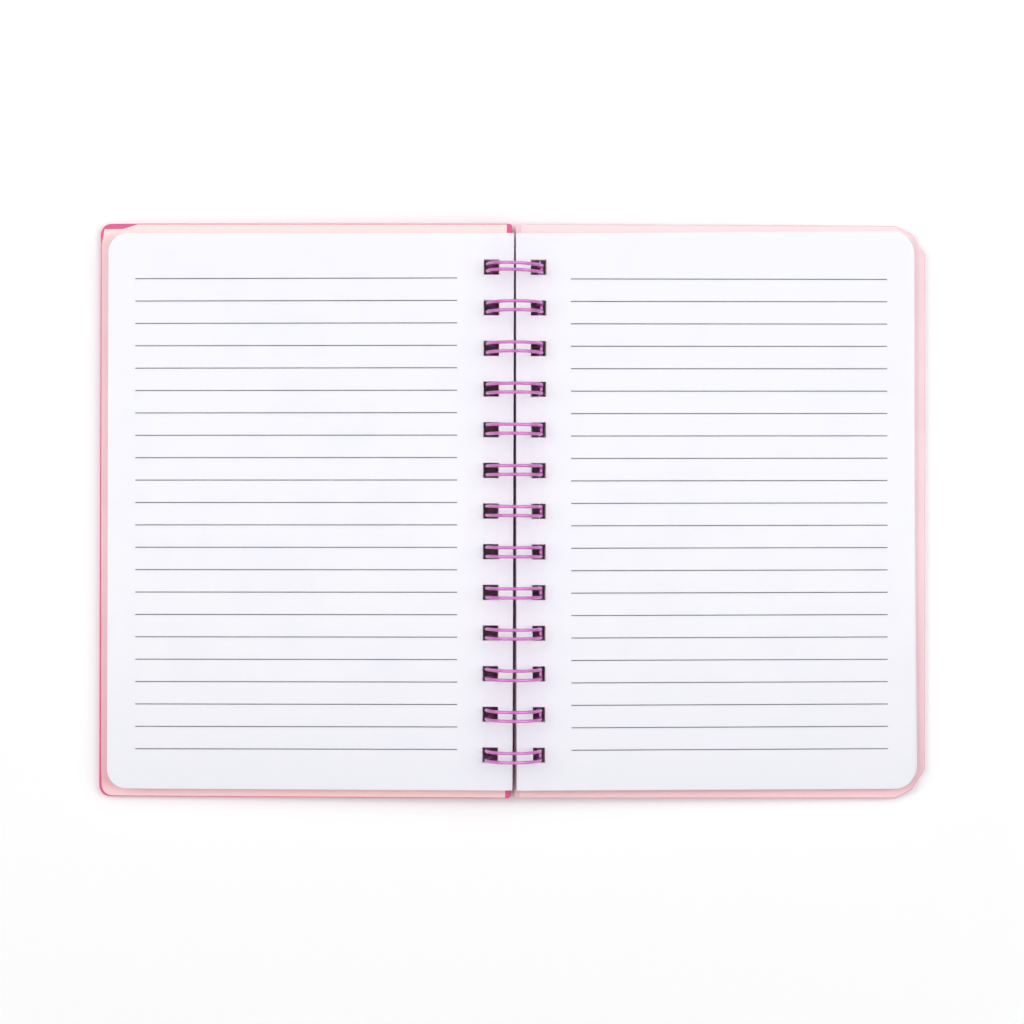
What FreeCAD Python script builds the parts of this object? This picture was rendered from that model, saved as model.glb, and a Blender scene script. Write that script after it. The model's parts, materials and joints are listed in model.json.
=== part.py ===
import FreeCAD, Part
import math
import os

# An open notebook with a twin-loop wire binding, lying flat, page faces up.
# Millimetres. X runs across the opening, Y up the page, Z up from the table.
# The loops' common axis runs along Y at X = 0. The front cover lies on the left
# (negative X), the back cover on the right. The loops and both fore edges touch Z = 0.
# The wire is closed between the last sheet and the back cover, and turns with that cover.

# Binding wire
LOOP_PITCH = 12.7            # two loops to the inch
WIRE_DIAMETER = 1.0
STRAND_SPACING = 2.8         # centre to centre of the two strands of a loop
BAR_BEND_RADIUS = 1.0        # where a strand turns into the bar to the next loop
TIP_SLIT = 0.5               # open slit between a loop's tip and the bars
END_STUB = 3.0               # cut end of the wire beyond the outermost loops
SECTION_SIDES = 6            # the wire's round section, as flats of the same area
STRAND_STEPS = 18            # straight steps that a strand's curve is laid out in
BEND_STEPS = 2               # the same, in the bend at a strand's root
TIP_STEPS = 4                # the same, round the hairpin at a loop's tip

# Sheets
PAGE_LENGTH = 174.0          # along the spine
PAGE_WIDTH = 126.0
PAGE_CORNER_RADIUS = 6.0     # outer corners of the sheets
PAGE_STACK = 3.5             # thickness of the sheets on the front cover
PAGE_EDGE_TO_AXIS = 0.36     # spine edge of the sheets to the loops' axis

# Punched holes
HOLE_MARGIN = 4.5            # paper left between a hole and the spine edge of the sheets
PUNCH_OVERSHOOT = 1.0        # how far the punches reach beyond both faces

# Covers
COVER_LENGTH = 180.4
COVER_WIDTH = 129.7
COVER_EDGE_TO_AXIS = 0.65    # spine edge of a cover to the loops' axis
FRONT_CORNER_RADIUS = 3.5    # fore corners of the front cover
BACK_CORNER_RADIUS = 8.5     # fore corners of the back cover
HINGE_CORNER_RADIUS = 1.0    # spine corners of both covers
BOARD_THICKNESS = 1.8
WRAP_THICKNESS = 0.2         # covering paper
TURN_IN = 15.0               # covering paper folded over onto the inner face
FOLD_RADIUS = 0.4            # rounding of the covering paper at the board's edges
LINING_THICKNESS = 0.2       # endpaper pasted on the inner face
LINING_STEP_LAP = 0.3        # run of the step where the endpaper drops off the turn-in
LINING_INSET_ENDS = 0.4      # endpaper back from the head and tail edges
LINING_INSET_FORE = 0.75     # endpaper back from the fore edge
LINING_INSET_HINGE = 1.7     # endpaper back from the spine edge

# Clearances
FACE_GAP = 0.3               # between the two page faces when the notebook is shut
STACK_GAP = 0.2              # between the sheets and the endpaper they lie on
BAR_CLEARANCE = 0.25         # bars to the endpaper under them and to the last sheet over them
WIRE_INSIDE_CLEARANCE = 0.3  # wire to the inner walls of the holes, at the covers' outside
WIRE_OUTSIDE_CLEARANCE = 0.35  # wire to the outer walls of the holes
STRAND_SIDE_CLEARANCE = 0.45   # wire to the end walls of a hole

# Heights below the loops' axis in one side lying flat, from the page face down
page_top = -FACE_GAP / 2
left_page_bottom = page_top - PAGE_STACK
lining_top = left_page_bottom - STACK_GAP
wrap_top = lining_top - LINING_THICKNESS
board_top = wrap_top - WRAP_THICKNESS
board_bottom = board_top - BOARD_THICKNESS
wrap_bottom = board_bottom - WRAP_THICKNESS

# The bars lie on the back cover, so the sheets over them make a thinner stack
bar_level = lining_top + BAR_CLEARANCE + WIRE_DIAMETER / 2
right_page_bottom = bar_level + WIRE_DIAMETER / 2 + BAR_CLEARANCE

# Distances from the loops' axis to the edges
page_fore_edge = PAGE_EDGE_TO_AXIS + PAGE_WIDTH
cover_fore_edge = COVER_EDGE_TO_AXIS + COVER_WIDTH

# The smallest loop that clears the inner wall of every hole while the covers turn about its axis
wire_radius = WIRE_DIAMETER / 2
hole_inner_wall = PAGE_EDGE_TO_AXIS + HOLE_MARGIN
loop_inside_radius = math.hypot(hole_inner_wall, wrap_bottom) + WIRE_INSIDE_CLEARANCE
loop_radius = loop_inside_radius + wire_radius
loop_outside_radius = loop_radius + wire_radius
hole_outer_wall = loop_outside_radius + WIRE_OUTSIDE_CLEARANCE
hole_length = STRAND_SPACING + WIRE_DIAMETER + 2 * STRAND_SIDE_CLEARANCE

SETTLING_ROUNDS = 4
ORIGIN = FreeCAD.Vector(0, 0, 0)
ALONG_SPINE = FreeCAD.Vector(0, 1, 0)
UP = FreeCAD.Vector(0, 0, 1)
LEFT = -1
RIGHT = 1


def loop_centres():
    """Places of the loops along the spine, as many as whole pitches fit on the sheets."""
    count = int(PAGE_LENGTH // LOOP_PITCH)
    first = -LOOP_PITCH * (count - 1) / 2
    return [first + LOOP_PITCH * index for index in range(count)]


def rounded_outline(x_low, x_high, y_low, y_high, low_radius, high_radius):
    """Closed outline of a rectangle, its corners rounded by one radius on each X side."""
    corners = [
        (FreeCAD.Vector(x_low, y_low, 0), low_radius),
        (FreeCAD.Vector(x_high, y_low, 0), high_radius),
        (FreeCAD.Vector(x_high, y_high, 0), high_radius),
        (FreeCAD.Vector(x_low, y_high, 0), low_radius),
    ]
    arriving = []
    middles = []
    leaving = []
    for index, (corner, radius) in enumerate(corners):
        back = (corners[index - 1][0] - corner).normalize()
        ahead = (corners[(index + 1) % len(corners)][0] - corner).normalize()
        arriving.append(corner + back * radius)
        middles.append(corner + (back + ahead) * radius - (back + ahead).normalize() * radius)
        leaving.append(corner + ahead * radius)
    edges = []
    for index, (corner, radius) in enumerate(corners):
        if radius > 0:
            edges.append(Part.Arc(arriving[index], middles[index], leaving[index]).toShape())
        edges.append(Part.makeLine(leaving[index], arriving[(index + 1) % len(corners)]))
    return Part.Wire(edges)


def plate(side, near, far, half_length, near_radius, far_radius, bottom, top):
    """A flat plate on one side of the spine, between two distances from the loops' axis."""
    if side == RIGHT:
        outline = rounded_outline(near, far, -half_length, half_length, near_radius, far_radius)
    else:
        outline = rounded_outline(-far, -near, -half_length, half_length, far_radius, near_radius)
    outline.translate(UP * bottom)
    return Part.Face(outline).extrude(UP * (top - bottom))


def hole_punches(side):
    """The row of punches, one to a loop, long enough for a whole side of the notebook."""
    punches = []
    for centre in loop_centres():
        punch = plate(side, hole_inner_wall, hole_outer_wall, hole_length / 2, 0, 0,
                      wrap_bottom - PUNCH_OVERSHOOT, page_top + PUNCH_OVERSHOOT)
        punch.translate(ALONG_SPINE * centre)
        punches.append(punch)
    return punches


def punched(side, flat_piece):
    """A flat piece of one side, with its row of holes."""
    return flat_piece.cut(hole_punches(side)).Solids[0]


def pages(side, bottom):
    """All the sheets on one side, as one block."""
    block = plate(side, PAGE_EDGE_TO_AXIS, page_fore_edge, PAGE_LENGTH / 2,
                  0, PAGE_CORNER_RADIUS, bottom, page_top)
    return punched(side, block)


def board_plate(side, fore_radius, bottom, top):
    """The board's own outline: the cover less its covering paper."""
    return plate(side, COVER_EDGE_TO_AXIS + WRAP_THICKNESS, cover_fore_edge - WRAP_THICKNESS,
                 COVER_LENGTH / 2 - WRAP_THICKNESS, HINGE_CORNER_RADIUS - WRAP_THICKNESS,
                 fore_radius - WRAP_THICKNESS, bottom, top)


def board(side, fore_radius):
    """Greyboard stiffener of a cover."""
    return punched(side, board_plate(side, fore_radius, board_bottom, board_top))


def turn_in_window(side, margin, bottom, top):
    """The part of the inner face that the turned-in covering paper leaves bare."""
    return plate(side, COVER_EDGE_TO_AXIS + TURN_IN + margin, cover_fore_edge - TURN_IN - margin,
                 COVER_LENGTH / 2 - TURN_IN - margin, 0, 0, bottom, top)


def wrap(side, fore_radius):
    """Covering paper round the outside, the edges and the rim of the inner face."""
    outside = plate(side, COVER_EDGE_TO_AXIS, cover_fore_edge, COVER_LENGTH / 2,
                    HINGE_CORNER_RADIUS, fore_radius, wrap_bottom, wrap_top)
    rims = [edge for edge in outside.Edges if lies_flat(edge)]
    folded = outside.makeFillet(FOLD_RADIUS, rims)
    folded = folded.cut(board_plate(side, fore_radius, board_bottom, board_top))
    folded = folded.cut(turn_in_window(side, 0.0, board_top, wrap_top))
    return punched(side, folded)


def lies_flat(edge):
    """True for an edge that runs round a flat plate rather than up its thickness."""
    box = edge.BoundBox
    return box.ZLength < 0.001


def endpaper(side, fore_radius):
    """Lining on the inner face, one sheet that steps down inside the turn-ins."""
    rim = plate(side, COVER_EDGE_TO_AXIS + LINING_INSET_HINGE, cover_fore_edge - LINING_INSET_FORE,
                COVER_LENGTH / 2 - LINING_INSET_ENDS, HINGE_CORNER_RADIUS,
                fore_radius - LINING_INSET_FORE, wrap_top, lining_top)
    rim = rim.cut(turn_in_window(side, LINING_STEP_LAP, wrap_top, lining_top))
    sunk = turn_in_window(side, 0.0, wrap_top - LINING_THICKNESS, wrap_top)
    return punched(side, rim.fuse(sunk).removeSplitter())


# Angles about the loops' axis, counter-clockwise from the back cover's inner face lying flat
seam = math.asin(bar_level / loop_radius)
root = seam - BAR_BEND_RADIUS / loop_radius
tip_bend_radius = STRAND_SPACING / 2
tip = seam + (TIP_SLIT + WIRE_DIAMETER + tip_bend_radius) / loop_radius
strand_sweep = 2 * math.pi - (tip - root)


def on_loop(angle, along):
    """A point on the wire's centre line at an angle about the loops' axis."""
    return FreeCAD.Vector(loop_radius * math.cos(angle), along, loop_radius * math.sin(angle))


def round_loop(angle):
    """Direction along a loop, counter-clockwise."""
    return FreeCAD.Vector(-math.sin(angle), 0, math.cos(angle))


def root_bend(centre, outward):
    """Centre line from the end of a bar to the start of a strand, outward being -1 or 1 along Y."""
    strand_start = on_loop(root, centre + outward * STRAND_SPACING / 2)
    pivot = strand_start + ALONG_SPINE * (outward * BAR_BEND_RADIUS)
    points = []
    for step in range(BEND_STEPS + 1):
        turn = math.pi / 2 * (1 - step / BEND_STEPS)
        spoke = round_loop(root) * math.sin(turn) - ALONG_SPINE * (outward * math.cos(turn))
        points.append(pivot + spoke * BAR_BEND_RADIUS)
    return points


def strand(along):
    """Centre line of a strand, from just after its root to its tip."""
    return [on_loop(root - strand_sweep * step / STRAND_STEPS, along)
            for step in range(1, STRAND_STEPS + 1)]


def tip_bend(centre):
    """Centre line between the two strands' tips, without its ends."""
    points = []
    for step in range(1, TIP_STEPS):
        turn = math.pi * step / TIP_STEPS
        spoke = ALONG_SPINE * -math.cos(turn) - round_loop(tip) * math.sin(turn)
        points.append(on_loop(tip, centre) + spoke * tip_bend_radius)
    return points


def wire_path():
    """Centre line of the whole binding, from one cut end to the other.

    Each double loop is a hairpin: up one strand from the bar, round the tip, down the other.
    """
    points = []
    for centre in loop_centres():
        points.extend(root_bend(centre, -1))
        points.extend(strand(centre - STRAND_SPACING / 2))
        points.extend(tip_bend(centre))
        points.extend(reversed(strand(centre + STRAND_SPACING / 2)))
        points.extend(reversed(root_bend(centre, 1)))
    first_cut = points[0] - ALONG_SPINE * END_STUB
    last_cut = points[-1] + ALONG_SPINE * END_STUB
    return [first_cut] + points + [last_cut]


def section_at(point, heading, outward):
    """The wire's section square to its heading, with flats towards and away from the loops' axis."""
    corner_angle = 2 * math.pi / SECTION_SIDES
    corner_radius = wire_radius * math.sqrt(corner_angle / math.sin(corner_angle))
    sideways = heading.cross(outward)
    corners = []
    for index in range(SECTION_SIDES):
        angle = corner_angle * (index + 0.5)
        spoke = outward * math.cos(angle) + sideways * math.sin(angle)
        corners.append(point + spoke * corner_radius)
    return corners


def carried_on(corners, heading, joint, joint_normal):
    """A section slid along its heading onto the plane where two steps of the wire meet."""
    return [corner + heading * ((joint - corner).dot(joint_normal) / heading.dot(joint_normal))
            for corner in corners]


def ring_face(corners):
    return Part.Face(Part.makePolygon(corners + corners[:1]))


def twin_loop_wire():
    """The whole binding, one wire from cut end to cut end, each step mitred to the next."""
    path = wire_path()
    headings = [(ahead - here).normalize() for here, ahead in zip(path, path[1:])]
    outward = FreeCAD.Vector(math.cos(root), 0, math.sin(root))
    sections = [section_at(path[0], headings[0], outward)]
    for index in range(1, len(headings)):
        joint_normal = headings[index - 1] + headings[index]
        sections.append(carried_on(sections[-1], headings[index - 1], path[index], joint_normal))
    sections.append(carried_on(sections[-1], headings[-1], path[-1], headings[-1]))
    faces = [ring_face(sections[0]), ring_face(sections[-1])]
    for near, far in zip(sections, sections[1:]):
        for side in range(SECTION_SIDES):
            following = (side + 1) % SECTION_SIDES
            faces.append(ring_face([near[side], near[following], far[following], far[side]]))
    skin = Part.makeShell(faces)
    skin.sewShape()
    whole = Part.makeSolid(skin)
    if whole.Volume < 0:
        whole.reverse()
    return whole


def table_slope(axis_height):
    """Lean of each side, at which the fold of its cover's fore edge just rests on the table."""
    reach = cover_fore_edge - FOLD_RADIUS
    depth = -wrap_bottom - FOLD_RADIUS
    return math.asin((axis_height - FOLD_RADIUS) / math.hypot(reach, depth)) - math.atan2(depth, reach)


def lying_on_table(binding):
    """Height of the loops' axis and lean of the sides, each settled to suit the other."""
    lean = 0.0
    for _ in range(SETTLING_ROUNDS):
        leaning = binding.copy()
        leaning.rotate(ORIGIN, ALONG_SPINE, math.degrees(lean))
        height = -leaning.BoundBox.ZMin
        lean = table_slope(height)
    return height, lean


def save_leaning(name, side, shape, lean):
    """Lean a flat piece about the loops' axis, lift it to its height and write it."""
    shape.rotate(ORIGIN, ALONG_SPINE, side * math.degrees(lean))
    shape.translate(UP * axis_height)
    shape.exportStep("parts/" + name + ".step")
    print(name, "volume", round(shape.Volume, 1), "valid", shape.isValid(), "solids", len(shape.Solids))


os.makedirs("parts", exist_ok=True)
binding = twin_loop_wire()
axis_height, slope = lying_on_table(binding)
save_leaning("twin_loop_wire", RIGHT, binding, slope)
for cover_name, side, fore_radius in (("front", LEFT, FRONT_CORNER_RADIUS),
                                      ("back", RIGHT, BACK_CORNER_RADIUS)):
    save_leaning(cover_name + "_board", side, board(side, fore_radius), slope)
    save_leaning(cover_name + "_wrap", side, wrap(side, fore_radius), slope)
    save_leaning(cover_name + "_endpaper", side, endpaper(side, fore_radius), slope)
save_leaning("left_pages", LEFT, pages(LEFT, left_page_bottom), slope)
# The right-hand sheets lie over the bars at the spine and on the cover at their fore edge
droop = math.atan2(right_page_bottom - lining_top - STACK_GAP, page_fore_edge)
save_leaning("right_pages", RIGHT, pages(RIGHT, right_page_bottom), slope + droop)
print("axis height", round(axis_height, 4), "slope", round(math.degrees(slope), 4),
      "droop", round(math.degrees(droop), 4), "seam", round(math.degrees(seam), 3))
print("loop radius", round(loop_radius, 3), "hole from", round(hole_inner_wall, 3),
      "to", round(hole_outer_wall, 3), "length", round(hole_length, 3))
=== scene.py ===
# %% [markdown]
# # An open twin-loop notebook
# The notebook lies flat on a pale table, seen from straight above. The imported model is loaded
# first and never moved: it gives the sizes, the bodies that turn, and the front cover's board and
# covering paper as they are. This script models again what needs finer work than a solid has: the
# loose sheets, the printed ruling, the linings, the back cover's layers and the coated wire.

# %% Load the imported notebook
import json
import math
import random

import bpy
from mathutils import Matrix, Vector


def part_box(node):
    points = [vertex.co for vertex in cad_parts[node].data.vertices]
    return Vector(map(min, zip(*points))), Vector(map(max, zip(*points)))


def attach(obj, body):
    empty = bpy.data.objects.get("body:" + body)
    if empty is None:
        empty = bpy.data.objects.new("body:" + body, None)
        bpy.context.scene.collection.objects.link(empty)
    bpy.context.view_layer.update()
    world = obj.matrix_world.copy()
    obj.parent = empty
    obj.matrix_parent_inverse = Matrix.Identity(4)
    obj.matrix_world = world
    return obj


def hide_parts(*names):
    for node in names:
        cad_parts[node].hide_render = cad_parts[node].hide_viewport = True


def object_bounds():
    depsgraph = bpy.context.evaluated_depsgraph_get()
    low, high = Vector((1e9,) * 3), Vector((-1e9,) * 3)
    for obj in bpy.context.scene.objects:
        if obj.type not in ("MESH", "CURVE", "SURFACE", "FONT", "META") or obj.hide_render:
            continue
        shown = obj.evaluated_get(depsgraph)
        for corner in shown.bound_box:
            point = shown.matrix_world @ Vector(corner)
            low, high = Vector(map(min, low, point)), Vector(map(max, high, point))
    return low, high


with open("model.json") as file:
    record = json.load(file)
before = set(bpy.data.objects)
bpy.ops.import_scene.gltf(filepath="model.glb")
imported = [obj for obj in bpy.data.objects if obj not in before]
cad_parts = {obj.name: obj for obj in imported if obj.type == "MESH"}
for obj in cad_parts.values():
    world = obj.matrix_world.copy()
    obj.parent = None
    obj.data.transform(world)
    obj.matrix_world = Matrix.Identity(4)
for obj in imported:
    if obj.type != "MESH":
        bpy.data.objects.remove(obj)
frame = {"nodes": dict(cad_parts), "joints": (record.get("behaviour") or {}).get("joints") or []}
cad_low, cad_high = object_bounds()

MM = 0.001
# A side's number is also the sign of x there
LEFT, RIGHT = -1, 1
chance = random.Random(13)
print("nodes:", ", ".join(sorted(frame["nodes"])))

# %% [markdown]
# ## Where things are
# Both sides of the notebook turn about one line, the common axis of the wire loops, so that line
# is the natural place to measure from. Each side leans down from it until its fore edge rests on
# the table. A piece is modelled lying flat, at its distance below the axis, and is leaned at the
# end: flat work is easy to check, and the lean is the same for every piece of a side.

# %% Find the main places
joints = {joint["name"]: joint for joint in frame["joints"]}
axis_height = joints["front_cover_hinge"]["pos_m"][2]
shut_turn = math.radians(joints["front_cover_hinge"]["range_deg"][1])
page_low, page_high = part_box("left_pages")
page_length = page_high.y - page_low.y
cover_low, cover_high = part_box("front_wrap")
cover_length = cover_high.y - cover_low.y
# Heights are counted from the axis, so what lies below it is negative
PAGE_TOP = -0.15 * MM
LEFT_STACK = 3.5 * MM
RIGHT_STACK = 2.2 * MM
LINING_TOP = -3.85 * MM
COVER_BOTTOM = -6.25 * MM
COVER_NEAR = 0.65 * MM
COVER_FORE = 130.35 * MM
FOLD_RADIUS = 0.4 * MM
PAGE_CORNER = 6.0 * MM
HOLE_SPANS = {LEFT: (4.76 * MM, 9.7 * MM), RIGHT: (5.0 * MM, 9.95 * MM)}
HOLE_LENGTH = 4.8 * MM
LOOP_COUNT = 13
LOOP_PITCH = 12.7 * MM
loop_places = [(index - (LOOP_COUNT - 1) / 2) * LOOP_PITCH for index in range(LOOP_COUNT)]
# Each side leans until the rounded fold at its cover's fore edge rests on the table
fold_out = COVER_FORE - FOLD_RADIUS
fold_down = -COVER_BOTTOM - FOLD_RADIUS
fold_angle = math.atan2(fold_down, fold_out)
slope = math.asin((axis_height - FOLD_RADIUS) / math.hypot(fold_out, fold_down)) - fold_angle
# The right-hand sheets lie over the wire's bars, so they droop a little more
droop = shut_turn - math.pi - 2 * slope
print("axis", round(axis_height / MM, 3), "mm up, sides lean", round(math.degrees(slope), 3), "degrees,",
      "right-hand sheets", round(math.degrees(droop), 3), "more")

# %% [markdown]
# ## Small helpers
# An operator works on whatever is selected, and the loaded nodes start out selected, so each
# step first clears the selection and picks its own object. Faces and points are picked by where
# they are, which keeps working when a size changes.


# %% Helpers for selecting and applying
def only(obj):
    """Select one object and nothing else."""
    bpy.ops.object.select_all(action="DESELECT")
    obj.select_set(True)
    bpy.context.view_layer.objects.active = obj


def pick_points(obj, test):
    """Leave edit mode, select just the points that pass the test, and go back in."""
    bpy.ops.object.mode_set(mode="EDIT")
    bpy.ops.mesh.select_mode(type="VERT")
    bpy.ops.mesh.select_all(action="DESELECT")
    bpy.ops.object.mode_set(mode="OBJECT")
    for vertex in obj.data.vertices:
        vertex.select = test(vertex.co)
    bpy.ops.object.mode_set(mode="EDIT")


def apply_all(obj):
    """Apply an object's modifiers, from first to last."""
    only(obj)
    for modifier in list(obj.modifiers):
        bpy.ops.object.modifier_apply(modifier=modifier.name)


def place_in_mesh(obj):
    """Put an object's place, turn and scale into its mesh, and leave the object at the origin."""
    only(obj)
    bpy.ops.object.transform_apply(location=True, rotation=True, scale=True)


# %% Helpers for leaning, copying and joining
def lean(obj, side, more=0.0):
    """Turn a flat piece down about the loops' axis and lift it to its height."""
    turn = Matrix.Rotation(side * (slope + more), 4, "Y")
    obj.data.transform(Matrix.Translation((0, 0, axis_height)) @ turn)
    obj.data.update()


def copy_of(obj, name):
    """A copy with its own mesh."""
    twin = obj.copy()
    twin.data = obj.data.copy()
    twin.name = name
    bpy.context.scene.collection.objects.link(twin)
    return twin


def join(parts, name):
    """Make one object of several."""
    bpy.ops.object.select_all(action="DESELECT")
    for part in parts:
        part.select_set(True)
    bpy.context.view_layer.objects.active = parts[0]
    bpy.ops.object.join()
    parts[0].name = name
    parts[0].data.name = name
    return parts[0]


# %% [markdown]
# ## Materials
# Paper is never one flat colour: it has fibres, a faint cloudiness where they lie thicker, and a
# matt surface that scatters light. A picture of paper could be laid on, but noise does the same at
# any scale and never repeats. All the papers here share one recipe: a coarse noise that shades the
# colour and a fine one that raises a slight bump, with other colours and gloss for each, and a
# painted shade that grows along the spine, because the photographed paper is darker towards the tail.
# The linings also carry painted light in narrow bands along the head and the tail.


# %% Helpers for colours and noise
def linear(red, green, blue):
    """A colour read off a screen, 0 to 255, as the linear colour that a shader wants."""
    def one(value):
        share = value / 255
        return share / 12.92 if share <= 0.04045 else ((share + 0.055) / 1.055) ** 2.4
    return (one(red), one(green), one(blue), 1.0)


def start_material(name):
    """A new material, with the parts of it that every recipe needs."""
    material = bpy.data.materials.new(name)
    material.use_nodes = True
    nodes = material.node_tree.nodes
    coords = nodes.new("ShaderNodeTexCoord")
    return material, nodes, material.node_tree.links, nodes["Principled BSDF"], coords.outputs["Object"]


def noise(nodes, links, coords, per_metre, detail=3.0):
    """A noise with so many patches to the metre."""
    texture = nodes.new("ShaderNodeTexNoise")
    texture.inputs["Scale"].default_value = per_metre
    texture.inputs["Detail"].default_value = detail
    links.new(coords, texture.inputs["Vector"])
    return texture.outputs["Fac"]


def spread(nodes, links, value, low, high):
    """Stretch a value that runs from low to high over 0 to 1."""
    ramp = nodes.new("ShaderNodeMapRange")
    ramp.inputs["From Min"].default_value = low
    ramp.inputs["From Max"].default_value = high
    links.new(value, ramp.inputs["Value"])
    return ramp.outputs["Result"]


# %% Helpers for mixing and bumping
NOISE_MIDDLE = (0.35, 0.65)
# A mix node has sockets for every kind of value, so its colours are found by their places
MIX_SHARE, MIX_FIRST, MIX_SECOND, MIX_RESULT = 0, 6, 7, 2


def mixed(nodes, links, share, first, second):
    """A colour between two, each a colour or another node's output."""
    mix = nodes.new("ShaderNodeMix")
    mix.data_type = "RGBA"
    for place, colour in ((MIX_FIRST, first), (MIX_SECOND, second)):
        if isinstance(colour, tuple):
            mix.inputs[place].default_value = colour
        else:
            links.new(colour, mix.inputs[place])
    links.new(share, mix.inputs[MIX_SHARE])
    return mix.outputs[MIX_RESULT]


def bumped(nodes, links, height, bsdf, distance):
    """Raise the surface where a value is high, by up to the distance."""
    bump = nodes.new("ShaderNodeBump")
    bump.inputs["Distance"].default_value = distance
    bump.inputs["Strength"].default_value = 1.0
    links.new(height, bump.inputs["Height"])
    links.new(bump.outputs["Normal"], bsdf.inputs["Normal"])


def along_spine(nodes, links, coords, start, end, power):
    """0 at one place along the spine, rising to 1 at another."""
    split = nodes.new("ShaderNodeSeparateXYZ")
    links.new(coords, split.inputs["Vector"])
    run = spread(nodes, links, split.outputs["Y"], start, end)
    eased = nodes.new("ShaderNodeMath")
    eased.operation = "POWER"
    eased.inputs[1].default_value = power
    links.new(run, eased.inputs[0])
    return eased.outputs[0]


# %% The recipe for paper
CLOUD_PER_METRE = 60
FIBRE_PER_METRE = 2500
FIBRE_DETAIL = 5.0
PAPER_SPECULAR = 0.35


def paper(name, colour, cloud_colour, roughness, fibre_depth, painted_light_and_shade=()):
    """Paper of one colour, clouded with a second, with fine fibres.

    Each painted shade or light is a colour, and where along the spine it starts, where it is full and how
    it rises."""
    material, nodes, links, bsdf, coords = start_material(name)
    clouds = spread(nodes, links, noise(nodes, links, coords, CLOUD_PER_METRE), *NOISE_MIDDLE)
    fibres = noise(nodes, links, coords, FIBRE_PER_METRE, FIBRE_DETAIL)
    sheet = mixed(nodes, links, clouds, colour, cloud_colour)
    # Painted shade and painted light, mixed in along the spine
    for painted_colour, start, end, power in painted_light_and_shade:
        sheet = mixed(nodes, links, along_spine(nodes, links, coords, start, end, power), sheet, painted_colour)
    links.new(sheet, bsdf.inputs["Base Color"])
    bumped(nodes, links, fibres, bsdf, fibre_depth)
    bsdf.inputs["Roughness"].default_value = roughness
    bsdf.inputs["Specular IOR Level"].default_value = PAPER_SPECULAR
    return material


# %% Make the writing paper
# The writing paper's darker colour towards the tail is painted shade, where the light falls off
page_paper = paper("page_paper", linear(249, 249, 253), linear(246, 246, 252), 0.85, 0.012 * MM,
                   ((linear(238, 238, 245), 10 * MM, -92 * MM, 2.0),))
print("made", page_paper.name)

# %% Make the front cover's papers
# The linings carry painted shade that deepens towards the tail, and painted light in narrow bands along
# the head and the tail
PAINTED_HEAD_LIGHT = (84.5 * MM, 87.5 * MM, 1.0)
PAINTED_TAIL_LIGHT = (-84.5 * MM, -88 * MM, 1.0)
front_cover_paper = paper("front_cover_paper", linear(225, 92, 140), linear(222, 89, 137), 0.42, 0.01 * MM)
front_lining_paper = paper("front_lining_paper", linear(254, 213, 215), linear(252, 207, 210),
                           0.4, 0.01 * MM,
                           ((linear(246, 188, 194), -5 * MM, -88 * MM, 1.5),
                            (linear(250, 226, 224), *PAINTED_HEAD_LIGHT),
                            (linear(255, 210, 213), *PAINTED_TAIL_LIGHT)))
print("made", front_cover_paper.name, "and", front_lining_paper.name)

# %% Make the back cover's papers
# The covering paper and the lining carry painted shade that deepens towards the tail, and the lining
# painted light in narrow bands along the head and the tail
back_cover_paper = paper("back_cover_paper", linear(248, 212, 220), linear(245, 205, 214), 0.38, 0.01 * MM,
                         ((linear(234, 188, 199), -10 * MM, -90 * MM, 1.5),))
back_lining_paper = paper("back_lining_paper", linear(250, 219, 225), linear(248, 213, 221),
                          0.4, 0.01 * MM,
                          ((linear(239, 196, 205), -10 * MM, -90 * MM, 1.5),
                           (linear(252, 228, 230), *PAINTED_HEAD_LIGHT),
                           (linear(251, 207, 213), *PAINTED_TAIL_LIGHT)))
print("made", back_cover_paper.name, "and", back_lining_paper.name)

# %% Make the board and the ink
greyboard = paper("greyboard", linear(142, 136, 126), linear(124, 118, 110), 0.9, 0.04 * MM)
printed_ink = paper("printed_ink", linear(114, 112, 116), linear(104, 102, 107), 0.7, 0.005 * MM)
print("made", greyboard.name, "and", printed_ink.name)

# %% [markdown]
# ### Coated wire
# The binding is steel wire in a glossy orchid pink coating. A thin coating over bright metal
# looks part plastic and part metal, so the shader is partly metallic under a clear coat, and a
# slow noise makes the coating a little deeper in places.


# %% Make the wire's coating
COATING_CLOUDS_PER_METRE = 350
COATING_GRAIN_PER_METRE = 1800
COATING_GRAIN_DEPTH = 0.01 * MM


def wire_coating():
    """The glossy coating of the binding."""
    material, nodes, links, bsdf, coords = start_material("wire_coating")
    clouds = noise(nodes, links, coords, COATING_CLOUDS_PER_METRE)
    depth = spread(nodes, links, clouds, *NOISE_MIDDLE)
    links.new(mixed(nodes, links, depth, linear(212, 120, 198), linear(196, 102, 183)),
              bsdf.inputs["Base Color"])
    grain = noise(nodes, links, coords, COATING_GRAIN_PER_METRE)
    bumped(nodes, links, grain, bsdf, COATING_GRAIN_DEPTH)
    bsdf.inputs["Metallic"].default_value = 0.25
    bsdf.inputs["Roughness"].default_value = 0.3
    bsdf.inputs["Coat Weight"].default_value = 0.5
    bsdf.inputs["Coat Roughness"].default_value = 0.12
    return material


orchid_coating = wire_coating()
print("coating:", orchid_coating.name)

# %% [markdown]
# ## The sheets
# Some thirty sheets of writing paper lie on the front cover and twenty on the back cover. Each
# stack could be one block with a striped edge, but its holes and its fore edge would look solid,
# so real sheets are stacked. One sheet is modelled for each side: a plane cut to size, its two
# outer corners rounded by a vertex bevel, thickened by an extrusion, with the row of square holes
# taken out by boolean punches. The others are copies, each a little out of line as loose sheets
# on a wire are. Near the spine the upper sheets curl down into the gap, so a sheet is cut across
# there first, to let it bend.

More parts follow.
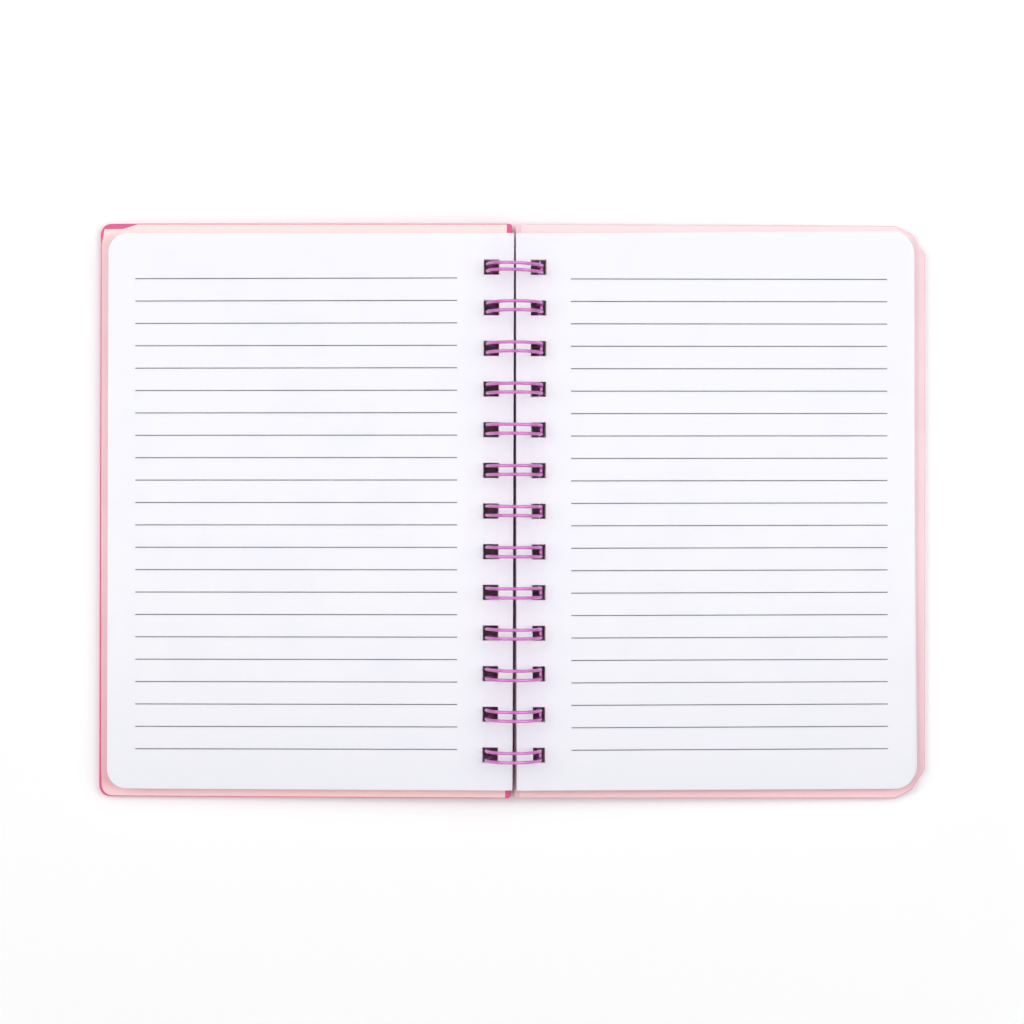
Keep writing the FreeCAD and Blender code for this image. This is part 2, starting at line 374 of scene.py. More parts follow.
# %% Sizes of the sheets
LEAF_PITCH = 0.105 * MM
LEAF_THICKNESS = 0.096 * MM
SHEET_HOLE_SHIFT = 0.2 * MM
PUNCH_DEPTH = 30 * MM
LEFT_NEAR, LEFT_FAR = 0.32 * MM, 127.3 * MM
RIGHT_NEAR, RIGHT_FAR = 0.8 * MM, 125.8 * MM
CURL_REACH = 2.6 * MM
CURL_CUTS = 5
CORNER_STEPS = 10
print("sheets", round((LEFT_FAR - LEFT_NEAR) / MM, 1), "and", round((RIGHT_FAR - RIGHT_NEAR) / MM, 1),
      "mm wide,", round(page_length / MM, 1), "mm long")


# %% Helpers for cutting a sheet out
def punches(side, along=0.0):
    """A row of square punches, one to a loop, all moved along the spine by the same amount."""
    tools = []
    near, far = HOLE_SPANS[side]
    for place in loop_places:
        bpy.ops.object.select_all(action="DESELECT")
        bpy.ops.mesh.primitive_cube_add(size=1, location=(side * (near + far) / 2, place + along, 0))
        tool = bpy.context.object
        tool.scale = (far - near, HOLE_LENGTH, PUNCH_DEPTH)
        place_in_mesh(tool)
        tools.append(tool)
    return join(tools, "punches")


def flat_blank(name, side, near, far, length):
    """A flat rectangle on one side of the spine."""
    bpy.ops.object.select_all(action="DESELECT")
    bpy.ops.mesh.primitive_plane_add(size=1, location=(side * (near + far) / 2, 0, 0))
    blank = bpy.context.object
    blank.name = name
    blank.scale = (far - near, length, 1)
    place_in_mesh(blank)
    return blank


def round_fore_corners(blank, side, middle, radius, steps):
    """Bevel the corners that lie beyond the middle of a flat blank."""
    pick_points(blank, lambda co: side * co.x > middle)
    bpy.ops.mesh.bevel(offset=radius, offset_type="OFFSET", segments=steps, affect="VERTICES")
    bpy.ops.object.mode_set(mode="OBJECT")


def thicken(blank, thickness, skew=0.0):
    """Extrude a flat blank downwards into a closed plate, and turn it if it is cut out of square."""
    only(blank)
    bpy.ops.object.mode_set(mode="EDIT")
    bpy.ops.mesh.select_all(action="SELECT")
    bpy.ops.mesh.extrude_region_move(TRANSFORM_OT_translate={"value": (0, 0, -thickness)})
    bpy.ops.mesh.select_all(action="SELECT")
    bpy.ops.mesh.normals_make_consistent(inside=False)
    bpy.ops.transform.rotate(value=-math.radians(skew), orient_axis="Z", center_override=(0, 0, 0))
    bpy.ops.object.mode_set(mode="OBJECT")


# %% Model one sheet for each side
def cut_away(obj, tool):
    """Take the tool's shape out of a piece, and throw the tool away."""
    cutter = obj.modifiers.new("cut", "BOOLEAN")
    cutter.operation = "DIFFERENCE"
    cutter.solver = "EXACT"
    cutter.object = tool
    apply_all(obj)
    bpy.data.objects.remove(tool)


def one_leaf(side, near, far, skew):
    """A single sheet, cut across near the spine where it will curl."""
    leaf = flat_blank("leaf", side, near, far, page_length)
    round_fore_corners(leaf, side, (near + far) / 2, PAGE_CORNER, CORNER_STEPS)
    thicken(leaf, LEAF_THICKNESS, skew)
    only(leaf)
    bpy.ops.object.mode_set(mode="EDIT")
    for cut in range(1, CURL_CUTS + 1):
        bpy.ops.mesh.select_all(action="SELECT")
        line = side * (near + CURL_REACH * cut / CURL_CUTS)
        bpy.ops.mesh.bisect(plane_co=(line, 0, 0), plane_no=(1, 0, 0))
    bpy.ops.object.mode_set(mode="OBJECT")
    cut_away(leaf, punches(side, SHEET_HOLE_SHIFT))
    return leaf


RIGHT_TRIM_SKEW = 0.24
left_leaf = one_leaf(LEFT, LEFT_NEAR, LEFT_FAR, 0.0)
right_leaf = one_leaf(RIGHT, RIGHT_NEAR, RIGHT_FAR, RIGHT_TRIM_SKEW)
print("one sheet has", len(left_leaf.data.polygons), "faces")


# %% [markdown]
# ### Stacking them
# The sheets are copied upwards one by one. A few under the top sheet on the right have slipped
# outwards at the tail, so they show white inside the lower holes and peep out at the fore edge.
# They are a little narrower than the others, or they would peep out too far.


# %% Helpers for stacking
SLIP_ACROSS = 0.25 * MM
JITTER = 0.04 * MM
PAGE_MIDDLE = 60 * MM
SHEET_SMOOTH_ANGLE = math.radians(35)


def curl(mesh, side, near, depth):
    """Bend the spine edge of a sheet down into the gap."""
    for vertex in mesh.vertices:
        share = 1 - (side * vertex.co.x - near) / CURL_REACH
        if share > 0:
            vertex.co.z -= depth * share * share


def stack(leaf, side, name, depth, near, curl_depth, slipped, shift_along):
    """Copies of one sheet from the bottom of the stack to its top."""
    count = round(depth / LEAF_PITCH)
    leaves = []
    for below_top in range(count):
        top = PAGE_TOP - depth * below_top / count
        part = copy_of(leaf, "leaf_part")
        curl(part.data, side, near, curl_depth * (count - below_top) / count)
        across = SLIP_ACROSS + (chance.uniform(-JITTER, JITTER) if below_top else 0)
        along = shift_along + (chance.uniform(-JITTER, JITTER) if below_top else 0)
        slip, turned, trimmed = slipped.get(below_top, (0.0, 0.0, 0.0))
        across += side * slip
        for vertex in part.data.vertices:
            if side * vertex.co.x > PAGE_MIDDLE:
                vertex.co.x -= side * trimmed
        turn = Matrix.Rotation(math.radians(turned), 4, "Z")
        part.data.transform(Matrix.Translation((across, along, top)) @ turn)
        leaves.append(part)
    bpy.data.objects.remove(leaf)
    whole = join(leaves, name)
    lean(whole, side, droop if side == RIGHT else 0.0)
    whole.data.materials.clear()
    whole.data.materials.append(page_paper)
    only(whole)
    bpy.ops.object.shade_smooth_by_angle(angle=SHEET_SMOOTH_ANGLE)
    return whole


# %% Stack the sheets
LEFT_CURL = 0.75 * MM
RIGHT_CURL = 0.12 * MM
LEFT_SHIFT = -0.2 * MM
RIGHT_SHIFT = -0.25 * MM
# How far down each slipped sheet lies: how far out it has slipped, its turn in degrees, and how
# much narrower it is trimmed
UNDER_SHEETS = {
    2: (0.3 * MM, 0.2, 0.3 * MM),
    4: (0.6 * MM, 0.45, 0.45 * MM),
    5: (0.5 * MM, 0.36, 0.4 * MM),
    6: (0.58 * MM, 0.42, 0.45 * MM),
}
left_sheets = stack(left_leaf, LEFT, "left_sheet_stack", LEFT_STACK, LEFT_NEAR, LEFT_CURL, {}, LEFT_SHIFT)
right_sheets = stack(right_leaf, RIGHT, "right_sheet_stack", RIGHT_STACK, RIGHT_NEAR, RIGHT_CURL,
                     UNDER_SHEETS, RIGHT_SHIFT)
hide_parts("left_pages")
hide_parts("right_pages")
for sheets, body in ((left_sheets, "left_sheets"), (right_sheets, "right_sheets")):
    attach(sheets, body)
    print(sheets.name, len(sheets.data.polygons), "faces")

# %% [markdown]
# ## The ruling
# The lines are printed ink. They are about a pixel wide, where a pattern in the paper's material
# would blur, so each is a real thin strip: a bar laid on the paper, with its ends rounded, which
# an array modifier repeats down the page. Both pages are printed slightly out of square. The back
# of the lowest right-hand sheet is ruled too, and shows when the sheets are lifted off the cover.

# %% Helper for the ruling
RULE_COUNT = 22
RULE_STEP = 7.01 * MM
RULE_WIDTH = 0.29 * MM
RULE_HEIGHT = 0.012 * MM
RULE_SINK = 0.006 * MM
RULE_ROUND = 0.3
RULE_ROUND_STEPS = 2


def ruling(name, side, span, first, turned, level, body):
    """All the lines of one page, from the first at the head, turned as the page was printed."""
    start, end = span
    bpy.ops.object.select_all(action="DESELECT")
    bpy.ops.mesh.primitive_cube_add(size=1, location=((start + end) / 2, first, 0))
    rule = bpy.context.object
    rule.scale = (end - start, RULE_WIDTH, RULE_HEIGHT)
    place_in_mesh(rule)
    pick_points(rule, lambda co: True)
    bpy.ops.object.mode_set(mode="OBJECT")
    for edge in rule.data.edges:
        one_end, other_end = (rule.data.vertices[i].co for i in edge.vertices)
        edge.select = abs(one_end.z - other_end.z) > RULE_HEIGHT / 2
    bpy.ops.object.mode_set(mode="EDIT")
    bpy.ops.mesh.select_mode(type="EDGE")
    bpy.ops.mesh.bevel(offset=RULE_WIDTH * RULE_ROUND, segments=RULE_ROUND_STEPS, affect="EDGES")
    bpy.ops.object.mode_set(mode="OBJECT")
    repeat = rule.modifiers.new("down the page", "ARRAY")
    repeat.count = RULE_COUNT
    repeat.use_relative_offset = False
    repeat.use_constant_offset = True
    repeat.constant_offset_displace = (0, -RULE_STEP, 0)
    apply_all(rule)
    middle = Vector(((start + end) / 2, 0, 0))
    turn = Matrix.Translation(middle) @ Matrix.Rotation(math.radians(turned), 4, "Z")
    rule.data.transform(turn @ Matrix.Translation(-middle))
    rule.data.transform(Matrix.Translation((0, 0, level)))
    lean(rule, side, droop if side == RIGHT else 0.0)
    rule.name = name
    rule.data.materials.append(printed_ink)
    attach(rule, body)
    print(name, "has", RULE_COUNT, "lines")


# %% Print the ruling
FIRST_RULE = 72.6 * MM
RIGHT_RULE_RAISE = 0.2 * MM
LEFT_RULE_SPAN = (-118.4 * MM, -17.5 * MM)
RIGHT_RULE_SPAN = (18.1 * MM, 117.5 * MM)
LEFT_RULE_TURN = 0.17
RIGHT_RULE_TURN = 0.27
on_top = PAGE_TOP + RULE_HEIGHT / 2 - RULE_SINK
# The lowest sheet's underside, seen when the right-hand sheets are lifted off the back cover
lowest_top = PAGE_TOP - RIGHT_STACK + RIGHT_STACK / round(RIGHT_STACK / LEAF_PITCH)
under_last = lowest_top - LEAF_THICKNESS - RULE_HEIGHT / 2 + RULE_SINK
ruling("left_ruling", LEFT, LEFT_RULE_SPAN, FIRST_RULE, LEFT_RULE_TURN, on_top, "left_sheets")
ruling("right_ruling", RIGHT, RIGHT_RULE_SPAN, FIRST_RULE + RIGHT_RULE_RAISE, RIGHT_RULE_TURN, on_top,
       "right_sheets")
ruling("last_page_ruling", RIGHT, RIGHT_RULE_SPAN, FIRST_RULE, 0.0, under_last, "right_sheets")

# %% [markdown]
# ## The covers' layers
# A hard cover is greyboard with covering paper folded round its edges and a lining pasted over
# the folded-in rim. The front cover's board and paper come from the model as they are. Its lining
# was trimmed by hand: it stops short at both fore corners, where the pink covering paper shows as
# a wedge at the head and a crescent at the tail. The back cover is made again here, because its
# paper is pleated round the fore corners in two flat facets, which a rounded solid hasn't got.

# %% Sizes of the layers
PAPER_THICKNESS = 0.2 * MM
BOARD_THICKNESS = 1.8 * MM
TURN_IN = 15.0 * MM
STEP_RUN = 0.3 * MM
LINING_HINGE_INSET = 1.7 * MM
BACK_FORE = 129.95 * MM
BACK_CORNER = 9.3 * MM
BACK_FACETS = 2
BACK_FACET_SHIFT = 1.4 * MM
BACK_FORE_SKEW = 0.0025
WHISKER = 0.001 * MM
ACROSS, ALONG = Vector((1, 0, 0)), Vector((0, 1, 0))
COVER_SMOOTH_ANGLE = math.radians(25)
wrap_top = LINING_TOP - PAPER_THICKNESS
board_top = wrap_top - PAPER_THICKNESS
head = cover_length / 2
print("lining", round(LINING_TOP / MM, 2), "mm, covering", round(wrap_top / MM, 2), "mm, board",
      round(board_top / MM, 2), "mm below the axis")


# %% Helpers for the layers
def raised(obj, height):
    """Lift a flat piece to its height below the axis, which is negative."""
    obj.data.transform(Matrix.Translation((0, 0, height)))


def cut_across(obj, places, direction):
    """Cut straight across a piece at each of the places."""
    only(obj)
    bpy.ops.object.mode_set(mode="EDIT")
    for place in places:
        bpy.ops.mesh.select_all(action="SELECT")
        bpy.ops.mesh.bisect(plane_co=direction * place, plane_no=direction)
    bpy.ops.object.mode_set(mode="OBJECT")


def move_points(obj, test, shift):
    """Move just the points that pass the test."""
    pick_points(obj, test)
    bpy.ops.transform.translate(value=shift)
    bpy.ops.object.mode_set(mode="OBJECT")


def sink_middle(lining, side, fore):
    """Push a lining down inside the folded-in rim, where it lies on the bare board."""
    first, last = COVER_NEAR + TURN_IN, fore - TURN_IN
    far_along = head - TURN_IN
    cuts_across = (first, first + STEP_RUN, last - STEP_RUN, last)
    cuts_along = (-far_along, STEP_RUN - far_along, far_along - STEP_RUN, far_along)
    cut_across(lining, [side * place for place in cuts_across], ACROSS)
    cut_across(lining, cuts_along, ALONG)

    def inside(co):
        u_in = first + STEP_RUN - WHISKER < side * co.x < last - STEP_RUN + WHISKER
        return u_in and abs(co.y) < far_along - STEP_RUN + WHISKER

    move_points(lining, inside, (0, 0, -PAPER_THICKNESS))


# %% Helper for finishing a layer
def dress(obj, side, node, material, body):
    """Punch, lean and finish a layer that stands for a loaded node."""
    cut_away(obj, punches(side))
    lean(obj, side)
    obj.data.materials.clear()
    obj.data.materials.append(material)
    only(obj)
    bpy.ops.object.shade_smooth_by_angle(angle=COVER_SMOOTH_ANGLE)
    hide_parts(node)
    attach(obj, body)
    print(obj.name, len(obj.data.polygons), "faces")


# %% [markdown]
# ### The front lining
# The lining is one thin sheet of paper. A flat rectangle is cut across at the places where its
# outline turns, and the points at its two fore corners are pulled in, as scissors would have cut
# them. It is thickened only then, so that each corner has to be shaped only once.

# %% Cut the front lining
FRONT_FORE_INSET = 0.36 * MM
FRONT_END_INSET = 0.3 * MM
WEDGE_LENGTH = 11.7 * MM
WEDGE_BULGE_FROM = 7.0 * MM
WEDGE_REACH = 6.5 * MM
CRESCENT_REACH = 9.0 * MM
front_far = COVER_FORE - FRONT_FORE_INSET
front_end = head - FRONT_END_INSET
front_lining = flat_blank("front_lining", LEFT, COVER_NEAR + LINING_HINGE_INSET, front_far, 2 * front_end)
cut_across(front_lining, (WEDGE_LENGTH - COVER_FORE, WEDGE_BULGE_FROM - COVER_FORE), ACROSS)
cut_across(front_lining, (head - WEDGE_REACH, CRESCENT_REACH - head), ALONG)
print("lining cut into", len(front_lining.data.polygons), "faces")


# %% Trim its corners
def at_fore(co):
    return -co.x > front_far - WHISKER


def at_head(co):
    return co.y > front_end - WHISKER


def at_tail(co):
    return co.y < WHISKER - front_end


# The wedge at the head: its corner stays sharp, and its long side bulges
WEDGE_CORNER = (0.95 * MM, -1.5 * MM, 0)
WEDGE_BULGE = (0, -1.45 * MM, 0)
move_points(front_lining, lambda co: at_fore(co) and at_head(co), WEDGE_CORNER)
move_points(front_lining, lambda co: at_head(co) and abs(co.x + COVER_FORE - WEDGE_BULGE_FROM) < WHISKER,
            WEDGE_BULGE)
# The crescent at the tail: the fore edge draws in and turns the corner in a curve
CRESCENT_DRAW = (0.3 * MM, 0, 0)
CRESCENT_CORNER = (0.7 * MM, 0.15 * MM, 0)
CRESCENT_ROUND = 3.0 * MM
CRESCENT_STEPS = 6
move_points(front_lining, lambda co: at_fore(co) and abs(co.y - CRESCENT_REACH + head) < WHISKER,
            CRESCENT_DRAW)
move_points(front_lining, lambda co: at_fore(co) and at_tail(co), CRESCENT_CORNER)
round_from = front_far - CRESCENT_ROUND
pick_points(front_lining, lambda co: co.y < CRESCENT_ROUND - front_end and -co.x > round_from)
bpy.ops.mesh.bevel(offset=CRESCENT_ROUND, offset_type="OFFSET", segments=CRESCENT_STEPS, affect="VERTICES")
bpy.ops.object.mode_set(mode="OBJECT")

# %% Paste the front lining
thicken(front_lining, PAPER_THICKNESS)
raised(front_lining, LINING_TOP)
sink_middle(front_lining, LEFT, COVER_FORE)
dress(front_lining, LEFT, "front_endpaper", front_lining_paper, "front_cover")


# %% [markdown]
# ### The back cover
# A vertex bevel of two steps gives each fore corner its two facets. Board, covering paper and
# lining are the same outline at different insets, so one helper makes all three. The covering
# paper is a plate with its edges rounded by a bevel modifier. The board's space is taken out of
# it, and then a window in its inner face, so that a folded-in rim is left, as paper would leave.

# %% Helper for the facetted corners
BACK_CORNER_SHRINK = 0.4


def facetted(name, inset, near_inset, thickness, top):
    """One layer of the back cover, in from the cover's edge by an inset, with its facetted corners."""
    near = COVER_NEAR + near_inset
    far = BACK_FORE - inset
    layer = flat_blank(name, RIGHT, near, far, 2 * (head - inset))
    corner = BACK_CORNER - BACK_CORNER_SHRINK * inset
    round_fore_corners(layer, RIGHT, (near + far) / 2, corner, BACK_FACETS)
    # The fold between the two facets lies nearer the head or tail edge than the fore edge
    shift = (-BACK_FACET_SHIFT, 0, 0)
    move_points(layer, lambda co: far - 0.5 * BACK_CORNER < co.x < far - WHISKER, shift)
    # The board was cut a hair out of square, narrower at the head
    for vertex in layer.data.vertices:
        if vertex.co.x > far - 2 * BACK_CORNER:
            vertex.co.x -= BACK_FORE_SKEW * vertex.co.y
    thicken(layer, thickness)
    raised(layer, top)
    return layer


# %% Fold the back cover's paper round its board
FOLD_STEPS = 4
FOLDED_ANGLE = math.radians(60)
back_board = facetted("back_board_clipped", PAPER_THICKNESS, PAPER_THICKNESS, BOARD_THICKNESS, board_top)
back_covering = facetted("back_covering", 0.0, 0.0, BOARD_THICKNESS + 2 * PAPER_THICKNESS, wrap_top)
fold = back_covering.modifiers.new("folded edge", "BEVEL")
fold.width = FOLD_RADIUS
fold.segments = FOLD_STEPS
fold.limit_method = "ANGLE"
fold.angle_limit = FOLDED_ANGLE
apply_all(back_covering)
cut_away(back_covering, copy_of(back_board, "board_space"))
# The window in the inner face leaves only the folded-in rim there
window_near, window_far = COVER_NEAR + TURN_IN, BACK_FORE - TURN_IN
window = flat_blank("window", RIGHT, window_near, window_far, 2 * (head - TURN_IN))
thicken(window, 3 * PAPER_THICKNESS)
raised(window, wrap_top + PAPER_THICKNESS)
cut_away(back_covering, window)
dress(back_board, RIGHT, "back_board", greyboard, "back_cover")
dress(back_covering, RIGHT, "back_wrap", back_cover_paper, "back_cover")

# %% Paste the back lining
BACK_LINING_INSET = 0.42 * MM
back_lining = facetted("back_lining", BACK_LINING_INSET, LINING_HINGE_INSET, PAPER_THICKNESS, LINING_TOP)
sink_middle(back_lining, RIGHT, BACK_FORE)
dress(back_lining, RIGHT, "back_endpaper", back_lining_paper, "back_cover")

# %% [markdown]
# ## The wire
# The binding is one wire, bent into a comb of hairpins that curl round into loops. A curve is the
# right tool: its points follow the comb from cut end to cut end, and a round bevel gives it the
# wire's thickness. The loops are closed where nobody sees it, between the last sheet and the back
# cover: the bars lie there, and each loop's hairpin tip ends just above them, inside the hole.
# Machines close the loops a little unevenly, so each one gets its own spacing and lean, and the
# first has been pinched narrower.

# %% Sizes of the wire
WIRE_RADIUS = 0.5 * MM
TABLE_CLEARANCE = 0.01 * MM
loop_radius = axis_height - WIRE_RADIUS - TABLE_CLEARANCE
LOOP_SQUASH = 0.985
WIRE_SLIP = (0.25 * MM, 0.0)
STRAND_SPACING = 2.8 * MM
BEND_RADIUS = 1.0 * MM
TIP_SLIT = 0.5 * MM
END_STUB = 3.0 * MM
BAR_LEVEL = -3.1 * MM
seam = math.asin(BAR_LEVEL / loop_radius)
root = seam - BEND_RADIUS / loop_radius
STRAND_STEPS = 72
BEND_STEPS = 6
TIP_STEPS = 12
print("loops", round(2 * loop_radius / MM, 1), "mm across, measured through the wire's middle")


# %% Helpers for points on a loop
def on_loop(angle, along):
    """A point on the wire, its height measured from the loops' axis."""
    return Vector((loop_radius * math.cos(angle), along, loop_radius * math.sin(angle)))


def round_loop(angle):
    """The direction in which the wire runs round the loop."""
    return Vector((-math.sin(angle), 0, math.cos(angle)))


def root_bend(along, outward):
    """The quarter bend from a bar into a strand."""
    start = on_loop(root, along)
    pivot = start + Vector((0, outward * BEND_RADIUS, 0))
    points = []
    for step in range(BEND_STEPS + 1):
        turn = math.pi / 2 * (1 - step / BEND_STEPS)
        spoke = round_loop(root) * math.sin(turn) - Vector((0, outward * math.cos(turn), 0))
        points.append(pivot + spoke * BEND_RADIUS)
    return points


# %% Helper for one double loop
FADE_POWER = 0.5


def loop_points(place, spacing, lean_along):
    """One double loop, from the bar before it to the bar after it."""
    half = spacing / 2
    tip = seam + (TIP_SLIT + 2 * WIRE_RADIUS + half) / loop_radius
    sweep = 2 * math.pi - (tip - root)

    def strand(offset):
        points = []
        for step in range(1, STRAND_STEPS + 1):
            angle = root - sweep * step / STRAND_STEPS
            # The lean and the narrowing fade out towards the root and the tip
            fade = math.sin(math.pi * step / STRAND_STEPS) ** FADE_POWER
            along = place + offset - lean_along * math.cos(angle) * fade
            points.append(on_loop(angle, along))
        return points

    first = strand(-half)
    second = strand(half)
    middle = on_loop(tip, place)
    tip_bend = []
    for step in range(1, TIP_STEPS):
        turn = math.pi * step / TIP_STEPS
        across_slit = Vector((0, -half * math.cos(turn), 0))
        tip_bend.append(middle + across_slit - round_loop(tip) * half * math.sin(turn))
    before = root_bend(place - half, -1)
    after = root_bend(place + half, 1)
    return before + first + tip_bend + second[::-1] + after[::-1]


# %% Lay out the wire's centre line
# The first loop, at the head, is the pinched one
PINCHED_SHIFT = -0.6 * MM
PINCHED_NARROWING = -0.7 * MM
PINCHED_LEAN = 0.35 * MM
SPACING_SPREAD = 0.1
LEAN_SPREAD = 0.12
wire_line = []
for index, place in enumerate(reversed(loop_places)):
    pinched = index == 0
    if pinched:
        place += PINCHED_SHIFT
        spacing = STRAND_SPACING + PINCHED_NARROWING
        leaning = PINCHED_LEAN
    else:
        spacing = STRAND_SPACING + chance.uniform(-SPACING_SPREAD, SPACING_SPREAD) * MM
        leaning = chance.uniform(-LEAN_SPREAD, LEAN_SPREAD) * MM
    wire_line = loop_points(place, spacing, leaning) + wire_line
wire_line.insert(0, wire_line[0] - Vector((0, END_STUB, 0)))
wire_line.append(wire_line[-1] + Vector((0, END_STUB, 0)))
lean_back = Matrix.Rotation(slope, 4, "Y")
squash = Matrix.Scale(LOOP_SQUASH, 4, (1, 0, 0))
settle = Matrix.Translation((*WIRE_SLIP, axis_height)) @ squash @ lean_back
wire_line = [settle @ point for point in wire_line]
wire_length = sum((b - a).length for a, b in zip(wire_line, wire_line[1:]))
print("wire length", round(wire_length / MM), "mm")

# %% Make the wire
WIRE_ROUNDNESS = 4
WIRE_SMOOTH_ANGLE = math.radians(50)
bpy.ops.object.select_all(action="DESELECT")
bpy.ops.curve.primitive_nurbs_path_add(location=(0, 0, 0))
wire = bpy.context.object
wire.data.splines.clear()
line = wire.data.splines.new("POLY")
line.points.add(len(wire_line) - 1)
for point, place in zip(line.points, wire_line):
    point.co = (*place, 1.0)
wire.data.bevel_depth = WIRE_RADIUS
wire.data.bevel_resolution = WIRE_ROUNDNESS
wire.data.use_fill_caps = True
only(wire)
bpy.ops.object.convert(target="MESH")
wire = bpy.context.object
wire.name = "coated_wire"
wire.data.materials.clear()
wire.data.materials.append(orchid_coating)
bpy.ops.object.shade_smooth_by_angle(angle=WIRE_SMOOTH_ANGLE)
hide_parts("twin_loop_wire")
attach(wire, "back_cover")
print("wire faces", len(wire.data.polygons))

# %% [markdown]
# ## Papers on the loaded nodes
# The front cover's board and covering paper are seen as they were loaded. The other nodes have been
# replaced, but each still gets the paper or coating of the piece that stands for it.

# %% Give the loaded nodes their papers
node_papers = {
    "front_board": greyboard,
    "back_board": greyboard,
    "front_wrap": front_cover_paper,
    "back_wrap": back_cover_paper,
    "front_endpaper": front_lining_paper,
    "back_endpaper": back_lining_paper,
    "left_pages": page_paper,
    "right_pages": page_paper,
    "twin_loop_wire": orchid_coating,
}
for name, material in node_papers.items():
    mesh = frame["nodes"][name].data
    mesh.materials.clear()
    mesh.materials.append(material)
print("nodes given a material:", len(node_papers))

# %% [markdown]
# ## The table
# The table is a plain pale plane. The camera sees it a little lighter than it is, so that it ends
# up white round the shadow, and more so further off, where the lamps don't reach. Under the book
# it keeps its own level, or the light would show through the holes.

# %% Lay the table
TABLE_SIZE = 6
TABLE_ROUGHNESS = 0.9
TABLE_SPECULAR = 0.1
bpy.ops.object.select_all(action="DESELECT")
bpy.ops.mesh.primitive_plane_add(size=TABLE_SIZE, location=(0, 0, 0))
table = bpy.context.object
table.name = "table"
table_surface, nodes, links, bsdf, coords = start_material("table_surface")
bsdf.inputs["Base Color"].default_value = linear(252, 252, 253)
bsdf.inputs["Roughness"].default_value = TABLE_ROUGHNESS
bsdf.inputs["Specular IOR Level"].default_value = TABLE_SPECULAR
table.data.materials.append(table_surface)
print("table", TABLE_SIZE, "m wide")

# %% Find what lies outside the book
book_across = cad_high.x - 2 * MM
book_along = cad_high.y - 1 * MM
apart = nodes.new("ShaderNodeSeparateXYZ")
links.new(coords, apart.inputs["Vector"])


def beyond(output, reach):
    """1 where a coordinate is further from the middle than the book reaches."""
    size = nodes.new("ShaderNodeMath")
    size.operation = "ABSOLUTE"
    links.new(apart.outputs[output], size.inputs[0])
    further = nodes.new("ShaderNodeMath")
    further.operation = "GREATER_THAN"
    further.inputs[1].default_value = reach
    links.new(size.outputs[0], further.inputs[0])
    return further.outputs[0]


def joined_by(operation, first, second):
    """One number worked out from two, by the named operation of a math node."""
    node = nodes.new("ShaderNodeMath")
    node.operation = operation
    for place, value in enumerate((first, second)):
        links.new(value, node.inputs[place])
    return node.outputs[0]


outside = joined_by("MAXIMUM", beyond("X", book_across), beyond("Y", book_along))
table_path = nodes.new("ShaderNodeLightPath")
seen_outside = joined_by("MULTIPLY", outside, table_path.outputs["Is Camera Ray"])
print("outside from", round(book_across / MM, 1), "by", round(book_along / MM, 1), "mm")

# %% Lift the table for the camera
TABLE_LIFT = 0.035
LIFT_STARTS = 0.22
LIFT_FULL = 0.9
bsdf.inputs["Emission Color"].default_value = (1, 1, 1, 1)
away = nodes.new("ShaderNodeVectorMath")
away.operation = "LENGTH"
links.new(coords, away.inputs[0])
lift = nodes.new("ShaderNodeMapRange")
lift.inputs["From Min"].default_value = LIFT_STARTS
lift.inputs["From Max"].default_value = LIFT_FULL
lift.inputs["To Min"].default_value = TABLE_LIFT
lift.inputs["To Max"].default_value = 1.0
links.new(away.outputs["Value"], lift.inputs["Value"])
links.new(joined_by("MULTIPLY", seen_outside, lift.outputs["Result"]), bsdf.inputs["Emission Strength"])

# %% [markdown]
# ## The light
# The photograph's light is soft and nearly even, yet the gap at the spine and the holes stay dark.
# Light from all over the sky would fill them. So it comes from six large soft panels half way up,
# the two strongest at the sides, those at the head a little stronger than those at the tail, and
# none in line with the gap. The sky itself adds very little, and looks white only to the camera
# and in reflections.

# %% Set up the panels
PANEL_DISTANCE = 1.4
PANEL_SIZE = 0.8


def panel(name, azimuth, elevation, watts):
    """A square lamp that faces the book, placed by its directions in degrees."""
    around, up = math.radians(azimuth), math.radians(elevation)
    towards = Vector((math.cos(around) * math.cos(up), math.sin(around) * math.cos(up), math.sin(up)))
    bpy.ops.object.light_add(type="AREA", location=towards * PANEL_DISTANCE)
    lamp = bpy.context.object
    lamp.name = name
    lamp.data.shape = "SQUARE"
    lamp.data.size = PANEL_SIZE
    lamp.data.energy = watts
    lamp.rotation_euler = towards.to_track_quat("Z", "Y").to_euler()
    print(name, watts, "W")


panel("right_panel", 8, 47, 8.2)
panel("left_panel", 172, 47, 7.8)
panel("head_right_panel", 60, 50, 3.1)
panel("head_left_panel", 120, 50, 3.1)
panel("tail_right_panel", 300, 50, 2.0)
panel("tail_left_panel", 240, 50, 2.0)

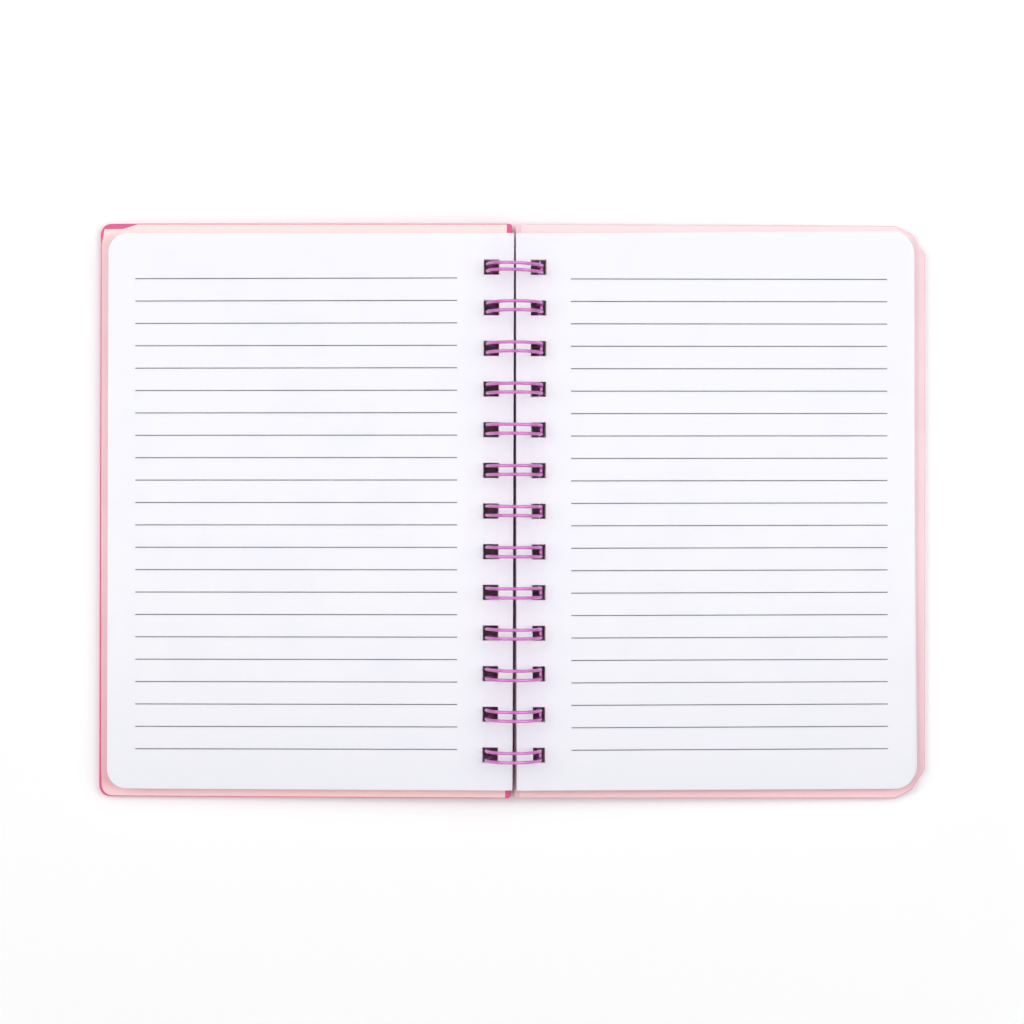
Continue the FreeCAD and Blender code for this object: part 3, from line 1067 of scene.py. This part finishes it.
# %% Set up the sky
AMBIENT = 0.09
world = bpy.data.worlds.new("studio")
bpy.context.scene.world = world
world.use_nodes = True
sky = world.node_tree.nodes
sky_links = world.node_tree.links
path = sky.new("ShaderNodeLightPath")
seen = sky.new("ShaderNodeMath")
seen.operation = "MAXIMUM"
sky_links.new(path.outputs["Is Camera Ray"], seen.inputs[0])
sky_links.new(path.outputs["Is Glossy Ray"], seen.inputs[1])
strength = sky.new("ShaderNodeMapRange")
strength.inputs["To Min"].default_value = AMBIENT
strength.inputs["To Max"].default_value = 1.0
sky_links.new(seen.outputs[0], strength.inputs["Value"])
sky["Background"].inputs["Color"].default_value = (1, 1, 1, 1)
sky_links.new(strength.outputs["Result"], sky["Background"].inputs["Strength"])
print("sky lights the book at", AMBIENT)

# %% [markdown]
# ## The camera
# The photograph was taken from straight above with a long lens, and the book lay turned by a hair.
# The spacing of the loops gives the scale: so many pixels to the millimetre at the height of the
# loops' axis. The camera stands where its frame takes in that many millimetres, and is moved aside
# until the middle of the loops falls where the photograph has it.

# %% Set the camera
IMAGE_PIXELS = 1024
PIXELS_PER_MM = 3.205
LOOPS_IN_IMAGE = (513.2, 511.1)
CAMERA_ABOVE_PAGE = 0.72
SENSOR = 36.0
BOOK_TURN = 0.17
view_width = IMAGE_PIXELS / PIXELS_PER_MM * MM
bpy.ops.object.camera_add()
camera = bpy.context.object
camera.data.sensor_width = SENSOR
camera.data.lens = SENSOR * CAMERA_ABOVE_PAGE / view_width
offset_x = (IMAGE_PIXELS / 2 - LOOPS_IN_IMAGE[0]) / PIXELS_PER_MM * MM
offset_y = (LOOPS_IN_IMAGE[1] - IMAGE_PIXELS / 2) / PIXELS_PER_MM * MM
camera.location = (offset_x, offset_y, axis_height + CAMERA_ABOVE_PAGE)
camera.rotation_euler = (0, 0, math.radians(BOOK_TURN))
bpy.context.scene.camera = camera
bpy.context.scene.view_settings.view_transform = "Standard"
print("lens", round(camera.data.lens, 1), "mm")

# %% [markdown]
# ## Finish
# The model's box is printed.

# %% Print the model's box
print("cad", [round(v / MM, 2) for v in (*cad_low, *cad_high)])
